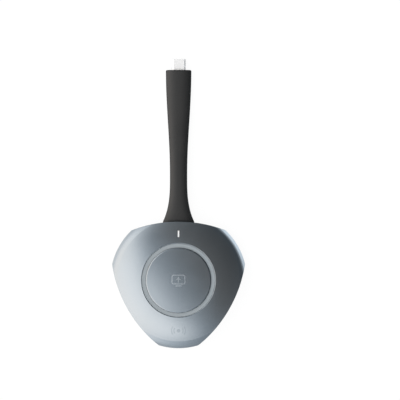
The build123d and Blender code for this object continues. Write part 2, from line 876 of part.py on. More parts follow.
def plug_shell():
    start = tip_distance - plug_depth
    length = plug_depth + plug_reach
    shell = plug_slot(plug_width, plug_thickness, start, length)
    mouth = [edge for edge in shell.edges() if edge.center().Y > start + length - fit_gap]
    shell = fillet(mouth, plug_edge_round)
    return shell - plug_slot(plug_width - 2 * plug_sheet, plug_thickness - 2 * plug_sheet, start, length)


def plug_insulator():
    start = tip_distance - plug_depth
    length = plug_depth + plug_reach - plug_lining_setback
    inner = plug_sheet + plug_lining_gap
    lining = plug_slot(plug_width - 2 * inner, plug_thickness - 2 * inner, start, length)
    mouth_start = start + length - plug_mouth_depth
    low = tip_height - plug_mouth_height / 2
    high = tip_height + plug_mouth_height / 2
    return lining - block(plug_mouth_width, plug_mouth_depth, low, high, 0, mouth_start + plug_mouth_depth / 2)


def plug_contacts():
    end = tip_distance + plug_reach - plug_lining_setback
    y = end - plug_mouth_depth + contact_length / 2
    strips = []
    for number in range(contact_count):
        x = contact_pitch * (number - (contact_count - 1) / 2)
        low = tip_height - plug_mouth_height / 2
        strips.append(block(contact_width, contact_length, low, low + contact_thickness, x, y))
        high = tip_height + plug_mouth_height / 2
        strips.append(block(contact_width, contact_length, high - contact_thickness, high, x, y))
    return strips


def plug_board():
    end = tip_distance - plug_depth
    low = tip_height - plug_board_thickness / 2
    return block(plug_board_width, plug_board_length, low, low + plug_board_thickness,
                 0, end - plug_board_length / 2)


sub_parts = {
    "front_cover": front_cover(),
    "rear_cover": rear_cover(),
    "foot_pad": foot_pad(),
    "button_cap": button_cap(),
    "button_carrier": button_carrier(),
    "light_ring": light_ring(),
    "button_frame": button_frame(),
    "frame_screws": frame_screws(),
    "status_light_pipe": status_light_pipe(),
    "status_led": status_led(),
    "ring_leds": ring_leds(),
    "main_board": main_board(),
    "switch_base": switch_base(),
    "switch_plunger": switch_plunger(),
    "processor_shield": shield(-1),
    "radio_shield": shield(1),
    "processor_chip": processor_chip(),
    "memory_chip": memory_chip(),
    "radio_chip": radio_chip(),
    "flash_chip": flash_chip(),
    "crystal": crystal(),
    "power_inductors": power_inductors(),
    "capacitors": capacitors(),
    "antenna_left": antenna(wall_angles[1]),
    "antenna_right": antenna(wall_angles[2]),
    "heat_spreader": heat_spreader(),
    "thermal_pad": thermal_pad(),
    "board_screws": board_screws(),
    "housing_screws": housing_screws(),
    "strap_jacket": strap_jacket(),
    "cable_core": cable_core(),
    "strap_clamp": strap_clamp(),
    "clamp_screws": clamp_screws(),
    "wire_harness": wire_harness(),
    "wire_plug": wire_plug(),
    "board_header": board_header(),
    "plug_shell": plug_shell(),
    "plug_insulator": plug_insulator(),
    "plug_contacts": plug_contacts(),
    "plug_board": plug_board(),
}

os.makedirs("parts", exist_ok=True)
for node, shape in sub_parts.items():
    solids = shape if isinstance(shape, list) else [shape]
    whole = Compound([solid for item in solids for solid in item.solids()])
    export_step(whole, os.path.join("parts", node + ".step"))
    print(node, len(whole.solids()), round(whole.volume, 2))

print("tail arc radii", [round(radius, 1) for radius in route_radii()])
whole_route = route_path(anchor_outer, tip_distance)
areas = []
for number in range(101):
    spot = whole_route.position_at(number / 100)
    corner_loss = (4 - math.pi) * tail_edge_round ** 2
    areas.append(tail_width(spot.Y) * tail_thickness(spot.Y) - corner_loss)
print("tail length", round(whole_route.length, 2))
print("tail section times length", round(sum(areas) / len(areas) * whole_route.length, 1))
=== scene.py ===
import math

import bmesh
import bpy
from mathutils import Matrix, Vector


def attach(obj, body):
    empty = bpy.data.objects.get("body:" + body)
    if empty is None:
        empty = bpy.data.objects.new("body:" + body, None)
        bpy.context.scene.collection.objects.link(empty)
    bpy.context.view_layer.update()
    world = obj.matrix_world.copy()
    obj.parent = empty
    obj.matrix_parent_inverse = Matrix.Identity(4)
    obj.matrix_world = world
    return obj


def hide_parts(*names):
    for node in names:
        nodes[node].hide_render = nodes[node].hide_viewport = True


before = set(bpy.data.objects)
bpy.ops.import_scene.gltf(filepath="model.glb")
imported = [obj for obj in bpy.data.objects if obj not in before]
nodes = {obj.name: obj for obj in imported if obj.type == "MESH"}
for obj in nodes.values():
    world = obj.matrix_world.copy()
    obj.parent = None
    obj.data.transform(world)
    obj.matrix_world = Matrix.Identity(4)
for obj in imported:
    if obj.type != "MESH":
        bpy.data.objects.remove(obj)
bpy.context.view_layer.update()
mm = 0.001
print("frame loaded:", len(nodes), "nodes")


# Small helpers for node trees

def feed(tree, socket, value):
    if isinstance(value, bpy.types.NodeSocket):
        tree.links.new(value, socket)
    else:
        socket.default_value = value


def addNode(tree, kind, inputs=None, **settings):
    made = tree.nodes.new("ShaderNode" + kind)
    for name, value in settings.items():
        setattr(made, name, value)
    for name, value in (inputs or {}).items():
        feed(tree, made.inputs[name], value)
    return made


def calc(tree, operation, first, second=0.0):
    return addNode(tree, "Math", {0: first, 1: second}, operation=operation).outputs[0]


def spread(tree, value, low, high, newLow=0.0, newHigh=1.0, smooth=False):
    inputs = {"Value": value, "From Min": low, "From Max": high,
              "To Min": newLow, "To Max": newHigh}
    kind = "SMOOTHSTEP" if smooth else "LINEAR"
    return addNode(tree, "MapRange", inputs, interpolation_type=kind).outputs["Result"]


def blendColors(tree, share, first, second):
    return addNode(tree, "Mix", {0: share, 6: first, 7: second}, data_type="RGBA").outputs[2]


def solid(color):
    return (*color, 1.0)


def grey(level):
    return (level, level, level, 1.0)


def toned(color, factor):
    return tuple(min(part * factor, 1.0) for part in color) + (1.0,)


def mottled(tree, share, color, amount):    # the colour, a little darker and lighter in places
    return blendColors(tree, share, toned(color, 1 - amount), toned(color, 1 + amount))


def bumped(tree, height, depth):
    return addNode(tree, "Bump", {"Height": height, "Distance": depth}).outputs["Normal"]


def newMaterial(name):
    made = bpy.data.materials.new(name)
    made.use_nodes = True
    tree = made.node_tree
    place = addNode(tree, "TexCoord").outputs["Object"]
    return made, tree, tree.nodes["Principled BSDF"], place


def newGroup(name, inputs, outputs):
    group = bpy.data.node_groups.new(name, "ShaderNodeTree")
    for direction, sockets in (("INPUT", inputs), ("OUTPUT", outputs)):
        for label, kind in sockets:
            group.interface.new_socket(label, in_out=direction, socket_type="NodeSocket" + kind)
    takes = group.nodes.new("NodeGroupInput").outputs
    gives = group.nodes.new("NodeGroupOutput").inputs
    return group, takes, gives


def useGroup(tree, group, **values):
    made = tree.nodes.new("ShaderNodeGroup")
    made.node_tree = group
    for name, value in values.items():
        feed(tree, made.inputs[name], value)
    return made.outputs


# Effects that several finishes share; scales are per metre
effects = {
    "pebbleShare": 0.7,        # of the grain's height, the slow cloud has the rest
    "cloudScale": 0.35,        # of the pebbles' scale
    "flakeWave": 260.0,
    "metalCloud": 90.0,
    "smudgeEdge": (0.42, 0.68),    # noise at which a handled patch begins, and is full
}
placeAndScale = [("Place", "Vector"), ("Scale", "Float")]
toneAndHeight = [("Tone", "Float"), ("Height", "Float")]


def grainGroup():    # pebbled texture of a mould, rubber or resin
    group, takes, gives = newGroup("mouldGrain", placeAndScale, toneAndHeight)
    pebbles = addNode(group, "TexVoronoi", {"Vector": takes["Place"], "Scale": takes["Scale"]},
                      feature="SMOOTH_F1")
    wide = calc(group, "MULTIPLY", takes["Scale"], effects["cloudScale"])
    cloud = addNode(group, "TexNoise", {"Vector": takes["Place"], "Scale": wide, "Detail": 3.0})
    share = effects["pebbleShare"]
    fine = calc(group, "MULTIPLY", pebbles.outputs["Distance"], share)
    slow = calc(group, "MULTIPLY", cloud.outputs["Fac"], 1 - share)
    feed(group, gives["Tone"], cloud.outputs["Fac"])
    feed(group, gives["Height"], calc(group, "ADD", fine, slow))
    return group


def flakeGroup():    # metal flake in lacquer: one random tone to each small cell
    group, takes, gives = newGroup("lacquerFlake", placeAndScale, toneAndHeight)
    cells = addNode(group, "TexVoronoi", {"Vector": takes["Place"], "Scale": takes["Scale"]})
    split = addNode(group, "SeparateColor", {"Color": cells.outputs["Color"]})
    slow = addNode(group, "TexNoise", {"Vector": takes["Place"], "Scale": effects["flakeWave"],
                                       "Detail": 2.0})
    feed(group, gives["Tone"], split.outputs["Red"])
    feed(group, gives["Height"], slow.outputs["Fac"])
    return group


def brushGroup():    # fine parallel marks of rolled, drawn or plated metal
    group, takes, gives = newGroup("metalBrush", placeAndScale + [("Run", "Vector")],
                                   toneAndHeight)
    drawn = addNode(group, "Mapping", {"Vector": takes["Place"], "Scale": takes["Run"]})
    marks = addNode(group, "TexNoise", {"Vector": drawn.outputs[0], "Scale": takes["Scale"],
                                        "Detail": 4.0})
    cloud = addNode(group, "TexNoise", {"Vector": takes["Place"], "Scale": effects["metalCloud"],
                                        "Detail": 2.0})
    feed(group, gives["Tone"], cloud.outputs["Fac"])
    feed(group, gives["Height"], marks.outputs["Fac"])
    return group


def smudgeGroup():    # patches where hands have left the surface a little duller
    group, takes, gives = newGroup("handling", placeAndScale, [("Mask", "Float")])
    patch = addNode(group, "TexNoise", {"Vector": takes["Place"], "Scale": takes["Scale"],
                                        "Detail": 5.0, "Roughness": 0.6})
    mask = spread(group, patch.outputs["Fac"], *effects["smudgeEdge"], smooth=True)
    feed(group, gives["Mask"], mask)
    return group


grain = grainGroup()
flake = flakeGroup()
brush = brushGroup()
smudge = smudgeGroup()
print("shared effects ready")


# Lacquer of the cover and the disc
lacquer = {
    "color": (0.585, 0.645, 0.695),
    "roughness": 0.2,
    "handledScale": 45.0,
    "dull": 0.03,              # how much rougher the handled patches are
    "flakeScale": 9000.0,
    "flakeSpread": 0.05,
    "waveDepth": 0.0000012,
}


def lacquerFinish():
    made, tree, shader, place = newMaterial("satinLacquer")
    specks = useGroup(tree, flake, Place=place, Scale=lacquer["flakeScale"])
    handled = useGroup(tree, smudge, Place=place, Scale=lacquer["handledScale"])["Mask"]
    rougher = calc(tree, "MULTIPLY", handled, lacquer["dull"])
    feed(tree, shader.inputs["Base Color"],
         mottled(tree, specks["Tone"], lacquer["color"], lacquer["flakeSpread"]))
    feed(tree, shader.inputs["Metallic"], 1.0)
    feed(tree, shader.inputs["Roughness"], calc(tree, "ADD", rougher, lacquer["roughness"]))
    feed(tree, shader.inputs["Normal"], bumped(tree, specks["Height"], lacquer["waveDepth"]))
    return made


# Ring of light round the disc: frosted, unlit
ring = {
    "color": (0.335, 0.375, 0.40),
    "cloud": 0.05,
    "roughness": (0.40, 0.52),
    "specular": 0.25,
    "frostScale": 3200.0,
    "frostDepth": 0.000012,
}


def ringFinish():
    made, tree, shader, place = newMaterial("ringDiffuser")
    frost = useGroup(tree, grain, Place=place, Scale=ring["frostScale"])
    feed(tree, shader.inputs["Base Color"],
         mottled(tree, frost["Tone"], ring["color"], ring["cloud"]))
    feed(tree, shader.inputs["Roughness"], spread(tree, frost["Height"], 0, 1, *ring["roughness"]))
    feed(tree, shader.inputs["Specular IOR Level"], ring["specular"])
    feed(tree, shader.inputs["Normal"], bumped(tree, frost["Height"], ring["frostDepth"]))
    return made


# Status light: milky guide, hardly lit
status = {
    "color": (0.85, 0.85, 0.84),
    "shade": 0.94,             # of the colour, in the darker clouds
    "cloudScale": 1800.0,
    "glow": 0.05,
    "roughness": 0.35,
}


def statusFinish():
    made, tree, shader, place = newMaterial("whiteDiffuser")
    cloud = useGroup(tree, grain, Place=place, Scale=status["cloudScale"])
    low = toned(status["color"], status["shade"])
    milk = blendColors(tree, cloud["Tone"], low, solid(status["color"]))
    feed(tree, shader.inputs["Base Color"], milk)
    feed(tree, shader.inputs["Emission Color"], milk)
    feed(tree, shader.inputs["Emission Strength"], status["glow"])
    feed(tree, shader.inputs["Roughness"], status["roughness"])
    return made


# Moulded plastics, rubbers and resins: colour, roughness, grain per metre, grain depth, tone spread
moulded = {
    "black_plastic": ((0.020, 0.020, 0.022), 0.45, 2400.0, 0.000022, 0.10),
    "foot_rubber": ((0.018, 0.018, 0.019), 0.72, 1500.0, 0.00004, 0.18),
    "chip_resin": ((0.022, 0.022, 0.024), 0.55, 3200.0, 0.000014, 0.12),
    "ferrite": ((0.075, 0.070, 0.066), 0.6, 2600.0, 0.00002, 0.2),
    "ceramic": ((0.50, 0.38, 0.25), 0.45, 3000.0, 0.000008, 0.12),
    "led_white": ((0.86, 0.84, 0.70), 0.25, 2600.0, 0.000006, 0.08),
    "pad_silicone": ((0.30, 0.36, 0.43), 0.6, 1700.0, 0.00003, 0.12),
    "plug_lining": ((0.025, 0.025, 0.028), 0.4, 3200.0, 0.00001, 0.1),
    "connector_nylon": ((0.78, 0.74, 0.62), 0.5, 2200.0, 0.000014, 0.06),
    "wire_sleeve": ((0.40, 0.04, 0.03), 0.35, 2600.0, 0.000008, 0.1),
    "cable_sleeve": ((0.045, 0.045, 0.05), 0.5, 2400.0, 0.000012, 0.12),
    "switch_cap": ((0.07, 0.07, 0.07), 0.45, 2600.0, 0.00001, 0.1),
}
touched = {                    # handled patches of the moulded parts
    "scale": 70.0,
    "polish": 0.08,            # how much smoother they are
}


def mouldedFinish(name, color, roughness, scale, depth, tone):
    made, tree, shader, place = newMaterial(name)
    pebbled = useGroup(tree, grain, Place=place, Scale=scale)
    worn = useGroup(tree, smudge, Place=place, Scale=touched["scale"])["Mask"]
    feed(tree, shader.inputs["Base Color"], mottled(tree, pebbled["Tone"], color, tone))
    feed(tree, shader.inputs["Roughness"],
         spread(tree, worn, 0, 1, roughness, roughness - touched["polish"]))
    feed(tree, shader.inputs["Normal"], bumped(tree, pebbled["Height"], depth))
    return made


# Metals: colour, metallic, roughness, marks per metre, direction of the marks, depth
metals = {
    "plug_metal": ((0.99, 0.99, 0.99), 0.15, 0.36, 900.0, (1.0, 0.06, 1.0), 0.0000015),
    "tinned_sheet": ((0.66, 0.67, 0.68), 1.0, 0.34, 700.0, (0.08, 1.0, 1.0), 0.000003),
    "screw_steel": ((0.42, 0.42, 0.44), 1.0, 0.36, 1800.0, (1.0, 1.0, 0.1), 0.000004),
    "spring_bronze": ((0.72, 0.50, 0.24), 1.0, 0.28, 1200.0, (0.1, 1.0, 1.0), 0.000002),
    "spreader_metal": ((0.75, 0.76, 0.77), 1.0, 0.4, 800.0, (0.05, 1.0, 1.0), 0.000003),
}
drawnMarks = {                 # what the marks do to every metal
    "tones": (0.95, 1.03),
    "reach": (0.3, 0.7),       # height of the marks over which the roughness changes
    "change": 0.05,            # of the roughness, up and down
}


def metalFinish(name, color, metallic, roughness, scale, run, depth):
    made, tree, shader, place = newMaterial(name)
    drawn = useGroup(tree, brush, Place=place, Scale=scale, Run=run)
    darker, lighter = (toned(color, factor) for factor in drawnMarks["tones"])
    smoother, rougher = roughness - drawnMarks["change"], roughness + drawnMarks["change"]
    feed(tree, shader.inputs["Base Color"], blendColors(tree, drawn["Tone"], darker, lighter))
    feed(tree, shader.inputs["Metallic"], metallic)
    feed(tree, shader.inputs["Roughness"],
         spread(tree, drawn["Height"], *drawnMarks["reach"], smoother, rougher))
    feed(tree, shader.inputs["Normal"], bumped(tree, drawn["Height"], depth))
    return made


# Circuit board: solder mask over copper runs
board = {
    "mask": (0.012, 0.075, 0.045),
    "overCopper": (0.030, 0.150, 0.085),
    "runScale": 320.0,
    "runWidth": 0.1,
    "runEdge": 0.8,            # of the width, where a run is full
    "roughness": (0.3, 0.24),
    "coat": 0.3,
    "copperHeight": 0.00002,
}


def boardFinish():
    made, tree, shader, place = newMaterial("boardLaminate")
    runs = addNode(tree, "TexVoronoi", {"Vector": place, "Scale": board["runScale"]},
                   feature="DISTANCE_TO_EDGE")
    copper = spread(tree, runs.outputs["Distance"], board["runWidth"],
                    board["runWidth"] * board["runEdge"], smooth=True)
    feed(tree, shader.inputs["Base Color"],
         blendColors(tree, copper, solid(board["mask"]), solid(board["overCopper"])))
    feed(tree, shader.inputs["Roughness"], spread(tree, copper, 0, 1, *board["roughness"]))
    feed(tree, shader.inputs["Coat Weight"], board["coat"])
    feed(tree, shader.inputs["Normal"], bumped(tree, copper, board["copperHeight"]))
    return made


# Soft skin of the tail
skin = {
    "color": (0.020, 0.020, 0.020),
    "tone": 0.12,
    "roughness": 0.42,
    "handledScale": 60.0,
    "dull": 0.05,              # how much rougher the handled patches are
    "specular": 0.8,
    "grainScale": 2600.0,
    "grainDepth": 0.000012,
}


def skinFinish():
    made, tree, shader, place = newMaterial("softBlack")
    pebbled = useGroup(tree, grain, Place=place, Scale=skin["grainScale"])
    handled = useGroup(tree, smudge, Place=place, Scale=skin["handledScale"])["Mask"]
    feed(tree, shader.inputs["Base Color"],
         mottled(tree, pebbled["Tone"], skin["color"], skin["tone"]))
    feed(tree, shader.inputs["Roughness"],
         spread(tree, handled, 0, 1, skin["roughness"], skin["roughness"] + skin["dull"]))
    feed(tree, shader.inputs["Specular IOR Level"], skin["specular"])
    feed(tree, shader.inputs["Normal"], bumped(tree, pebbled["Height"], skin["grainDepth"]))
    return made


finishes = {
    "satin_lacquer": lacquerFinish(),
    "ring_diffuser": ringFinish(),
    "white_diffuser": statusFinish(),
    "board_laminate": boardFinish(),
    "soft_black": skinFinish(),
}
for slotName, values in moulded.items():
    finishes[slotName] = mouldedFinish(slotName.title().replace("_", ""), *values)
for slotName, values in metals.items():
    finishes[slotName] = metalFinish(slotName.title().replace("_", ""), *values)
for node in nodes.values():
    slotName = node.data.materials[0].name.split(".")[0]
    node.data.materials[0] = finishes[slotName]
print("finishes set:", len(finishes))


# Tail: a flat soft tube along the route that part.py gives it, in millimetres
tail = {
    "route": [(0, 31.0, 5.82), (0, 52.0, 5.82), (0, 76.0, 4.85), (0, 101.0, 2.65),
              (0, 125.9, 2.65)],
    "steps": 56,               # rings to each span of the route
    "around": 72,              # points to each ring
    "squareness": 2.5,         # 2 is an ellipse, more is boxier
    "wall": 34.9,              # where it leaves the body
    "waist": 10.35,
    "waistThickness": 4.4,
    "rootWidth": 18.8,
    "rootThickness": 4.6,
    "rootReach": 27.0,         # length of the flare at the body
    "tipWidth": 15.3,
    "tipThickness": 5.2,
    "tipReach": 63.0,          # length of the taper behind the tip
    "tipRound": 0.7,
    "tipSteps": 5,
    "neckStart": 0.2,          # it thins from here inside the wall
    "neckReach": 1.0,
    "neckDepth": 0.5,          # leaves the cable core inside it covered
    "blockWidth": 22.0,        # anchor moulded on inside the body
    "blockHeight": 5.0,
    "blockDepth": 4.0,
    "blockBack": 28.19,
    "blockEdge": 0.4,
    "blockSquareness": 8.0,
    "stepDown": 0.05,          # from the anchor to the tube
    "pocketWidth": 8.45,       # hole that the plug sits in
    "pocketHeight": 2.6,
    "pocketDepth": 13.4,
    "pocketEdge": 0.2,
    "pocketSquareness": 4.0,
    "spare": (1.0, 0.2),       # kept clear between the route's rings and the two ends
}


def eased(tip, waist, root, y):    # from the tip's measure to the waist's, then to the root's
    fromTip = min(tail["route"][-1][1] - y, tail["tipReach"])
    fromWall = min(max(y - tail["wall"], 0), tail["rootReach"])
    wider = (tip - waist) * (1 + math.cos(math.pi * fromTip / tail["tipReach"])) / 2
    return waist + wider + (root - waist) * (1 - fromWall / tail["rootReach"]) ** 3


def tailWidth(y):
    return eased(tail["tipWidth"], tail["waist"], tail["rootWidth"], y)


def tailThickness(y):
    past = (y - tail["wall"] + tail["neckStart"]) / tail["neckReach"]
    neck = math.cos(math.pi / 2 * past) ** 2 if 0 < past < 1 else 0
    whole = eased(tail["tipThickness"], tail["waistThickness"], tail["rootThickness"], y)
    return whole - 2 * tail["neckDepth"] * neck


def roundedLoop(width, height, power):
    loop = []
    for number in range(tail["around"]):
        angle = 2 * math.pi * number / tail["around"]
        c, s = math.cos(angle), math.sin(angle)
        loop.append((width / 2 * math.copysign(abs(c) ** (2 / power), c) * mm,
                     height / 2 * math.copysign(abs(s) ** (2 / power), s) * mm))
    return loop


def routePoints():
    curve = bpy.data.curves.new("tailRoute", "CURVE")
    curve.dimensions = "3D"
    spline = curve.splines.new("NURBS")
    spline.points.add(len(tail["route"]) - 1)
    for point, (x, y, z) in zip(spline.points, tail["route"]):
        point.co = (x * mm, y * mm, z * mm, 1)
    spline.order_u = 3
    spline.use_endpoint_u = True
    spline.resolution_u = tail["steps"]
    holder = bpy.data.objects.new("tailRoute", curve)
    bpy.context.scene.collection.objects.link(holder)
    line = bpy.data.meshes.new_from_object(holder)
    points = [vertex.co.copy() for vertex in line.vertices]
    bpy.data.objects.remove(holder)
    return points


def tailRings(points):
    across = Vector((1, 0, 0))
    level = Vector((0, 0, 1))

    def loopAt(centre, up, width, height, power):
        return [centre + across * x + up * z for x, z in roundedLoop(width, height, power)]

    # anchor inside the body
    height = points[0].z
    back = tail["blockBack"]
    front = back + tail["blockDepth"]
    edge = tail["blockEdge"]
    rings = []
    for y, width, thickness in (
        (back, tail["blockWidth"] - 2 * edge, tail["blockHeight"] - 2 * edge),
        (back + edge, tail["blockWidth"], tail["blockHeight"]),
        (front, tail["blockWidth"], tail["blockHeight"]),
        (front + tail["stepDown"], tail["rootWidth"], tail["rootThickness"]),
    ):
        rings.append(loopAt(Vector((0, y * mm, height)), level, width, thickness,
                            tail["blockSquareness"]))

    # tube along the route
    tip = points[-1]
    end = tip.y / mm
    roundStart = end - tail["tipRound"]
    clearRoot, clearTip = tail["spare"]
    for before, point, after in zip(points, points[1:], points[2:]):
        y = point.y / mm
        if front + clearRoot < y < roundStart - clearTip:
            up = across.cross((after - before).normalized())
            rings.append(loopAt(point, up, tailWidth(y), tailThickness(y), tail["squareness"]))

    # rounded end
    for step in range(tail["tipSteps"] + 1):
        turn = math.pi / 2 * step / tail["tipSteps"]
        inset = 2 * tail["tipRound"] * (1 - math.cos(turn))
        y = roundStart + tail["tipRound"] * math.sin(turn)
        rings.append(loopAt(Vector((0, y * mm, tip.z)), level, tailWidth(roundStart) - inset,
                            tailThickness(roundStart) - inset, tail["squareness"]))

    # pocket for the plug
    edge = tail["pocketEdge"]
    for y, wider in ((end, 2 * edge), (end - edge, 0.0), (end - tail["pocketDepth"], 0.0)):
        rings.append(loopAt(Vector((0, y * mm, tip.z)), level, tail["pocketWidth"] + wider,
                            tail["pocketHeight"] + wider, tail["pocketSquareness"]))
    return rings


def makeTail():
    points = routePoints()
    shape = bmesh.new()
    loops = [[shape.verts.new(place) for place in loop] for loop in tailRings(points)]
    for first, second in zip(loops, loops[1:]):
        for number in range(tail["around"]):
            after = (number + 1) % tail["around"]
            shape.faces.new((first[number], first[after], second[after], second[number]))
    shape.faces.new(list(reversed(loops[0])))
    shape.faces.new(loops[-1])
    bmesh.ops.recalc_face_normals(shape, faces=shape.faces)
    mesh = bpy.data.meshes.new("tail")
    shape.to_mesh(mesh)
    shape.free()
    mesh.materials.append(finishes["soft_black"])
    for face in mesh.polygons:
        face.use_smooth = True
    piece = bpy.data.objects.new("tail", mesh)
    bpy.context.scene.collection.objects.link(piece)
    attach(piece, "housing")
    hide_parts("strap_jacket")


makeTail()
print("tail made")


# Marks are laid out flat above the part, dropped onto it and etched into its lacquer
etching = {
    "above": 20.0,             # height at which they are laid out
    "proud": 0.035,
    "depth": 0.06,             # thickness of a mark
    "cuts": 3,                 # so that a mark follows the dome
    "grainScale": 4200.0,
    "grainDepth": 0.000004,
    "tone": 0.05,
    "change": 0.04,            # of the roughness, up and down
}


def deselectAll():
    if bpy.context.object and bpy.context.object.mode != "OBJECT":
        bpy.ops.object.mode_set(mode="OBJECT")
    bpy.ops.object.select_all(action="DESELECT")


def editMode():
    bpy.ops.object.mode_set(mode="EDIT")
    bpy.ops.mesh.select_all(action="SELECT")


def objectMode():
    bpy.ops.object.mode_set(mode="OBJECT")


def flatBar(width, height, y):
    deselectAll()
    bpy.ops.mesh.primitive_plane_add(size=1, location=(0, y * mm, etching["above"] * mm))
    bar = bpy.context.object
    bar.scale = (width * mm, height * mm, 1)
    bpy.ops.object.transform_apply(location=True, rotation=False, scale=True)
    return bar


def joined(name, parts):
    deselectAll()
    for part in parts:
        part.select_set(True)
    bpy.context.view_layer.objects.active = parts[0]
    bpy.ops.object.join()
    whole = bpy.context.object
    whole.name = name
    whole.data.name = name
    return whole


def layOn(piece, carrier):    # drops a flat mark onto the surface under it and gives it a body
    deselectAll()
    piece.select_set(True)
    bpy.context.view_layer.objects.active = piece
    editMode()
    bpy.ops.mesh.subdivide(number_cuts=etching["cuts"])
    objectMode()
    drop = piece.modifiers.new("drop", "SHRINKWRAP")
    drop.target = carrier
    drop.wrap_method = "PROJECT"
    drop.use_project_z = True
    drop.use_negative_direction = True
    drop.use_positive_direction = False
    drop.offset = etching["proud"] * mm
    wall = piece.modifiers.new("wall", "SOLIDIFY")
    wall.thickness = etching["depth"] * mm
    wall.offset = -1
    bpy.ops.object.modifier_apply(modifier="drop")
    bpy.ops.object.modifier_apply(modifier="wall")


def etchedFinish(name, color, roughness):
    made, tree, shader, place = newMaterial(name)
    pebbled = useGroup(tree, grain, Place=place, Scale=etching["grainScale"])
    smoother, rougher = roughness - etching["change"], roughness + etching["change"]
    feed(tree, shader.inputs["Base Color"],
         mottled(tree, pebbled["Tone"], color, etching["tone"]))
    feed(tree, shader.inputs["Metallic"], 1.0)
    feed(tree, shader.inputs["Roughness"],
         spread(tree, pebbled["Tone"], 0, 1, smoother, rougher))
    feed(tree, shader.inputs["Normal"], bumped(tree, pebbled["Height"], etching["grainDepth"]))
    return made


# Mark on the disc: a plain screen with an arrow that rises into it
screenMark = {
    "width": 8.2,
    "height": 5.8,
    "corner": 1.2,
    "cornerSteps": 6,
    "line": 0.55,
    "rise": 0.5,
    "arrowWidth": 3.0,
    "arrowHeight": 1.6,
    "arrowLift": 0.3,          # of its height, so that it overlaps the stem
    "stemHeight": 1.7,
    "footWidth": 3.6,
    "footDrop": 0.9,
    "color": (0.76, 0.83, 0.89),
    "roughness": 0.32,
}


def makeScreenMark():
    m = screenMark
    screen = flatBar(m["width"], m["height"], m["rise"])
    editMode()
    bpy.ops.mesh.bevel(offset=m["corner"] * mm, segments=m["cornerSteps"], affect="VERTICES")
    bpy.ops.mesh.select_all(action="SELECT")
    bpy.ops.mesh.inset(thickness=m["line"] * mm, depth=0)
    bpy.ops.mesh.delete(type="FACE")    # leaves the frame
    objectMode()
    base = m["rise"] - m["height"] / 2
    foot = flatBar(m["footWidth"], m["line"], base - m["footDrop"])
    stem = flatBar(m["line"], m["stemHeight"], m["rise"] - m["stemHeight"] / 2)
    deselectAll()
    middle = m["rise"] + m["arrowHeight"] * m["arrowLift"]
    bpy.ops.mesh.primitive_circle_add(vertices=3, radius=1, fill_type="NGON",
                                      location=(0, middle * mm, etching["above"] * mm))
    arrow = bpy.context.object
    # with radius 1 the triangle is sqrt(3) wide and 1.5 high
    arrow.scale = (m["arrowWidth"] / math.sqrt(3) * mm, m["arrowHeight"] / 1.5 * mm, 1)
    bpy.ops.object.transform_apply(location=True, rotation=True, scale=True)
    mark = joined("screenMark", [screen, foot, stem, arrow])
    layOn(mark, nodes["button_cap"])
    mark.data.materials.append(etchedFinish("etchedDisc", m["color"], m["roughness"]))
    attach(mark, "button")


# Mark below the ring: a dot that sends waves to both sides
waveMark = {
    "y": -30.1,
    "dot": 1.05,
    "dotPoints": 40,
    "waves": (2.5, 3.9),
    "wavePoints": 72,          # to a full turn
    "line": 0.5,
    "halfAngle": 38.0,
    "color": (0.52, 0.58, 0.63),
    "roughness": 0.26,
}


def waveArc(radius, side):
    m = waveMark
    centre = (0, m["y"] * mm, etching["above"] * mm)
    deselectAll()
    bpy.ops.mesh.primitive_circle_add(vertices=m["wavePoints"], radius=radius * mm,
                                      fill_type="NOTHING", location=centre)
    arc = bpy.context.object
    editMode()
    bpy.ops.mesh.select_all(action="DESELECT")
    objectMode()
    limit = math.cos(math.radians(m["halfAngle"])) * radius * mm
    for vertex in arc.data.vertices:
        vertex.select = side * vertex.co.x < limit
    bpy.ops.object.mode_set(mode="EDIT")    # keeps what is selected, unlike editMode
    bpy.ops.mesh.delete(type="VERT")
    bpy.ops.mesh.select_all(action="SELECT")
    bpy.ops.mesh.extrude_edges_move()
    wider = (radius + m["line"]) / radius
    bpy.ops.transform.resize(value=(wider, wider, 1), center_override=centre)
    objectMode()
    bpy.ops.object.transform_apply(location=True, rotation=False, scale=False)
    return arc


def makeWaveMark():
    m = waveMark
    arcs = [waveArc(radius, side) for radius in m["waves"] for side in (-1, 1)]
    deselectAll()
    bpy.ops.mesh.primitive_circle_add(vertices=m["dotPoints"], radius=m["dot"] * mm,
                                      fill_type="TRIFAN",
                                      location=(0, m["y"] * mm, etching["above"] * mm))
    dot = bpy.context.object
    bpy.ops.object.transform_apply(location=True, rotation=False, scale=False)
    mark = joined("waveMark", [dot] + arcs)
    layOn(mark, nodes["front_cover"])
    mark.data.materials.append(etchedFinish("etchedCover", m["color"], m["roughness"]))
    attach(mark, "housing")


makeScreenMark()
makeWaveMark()
print("marks made")


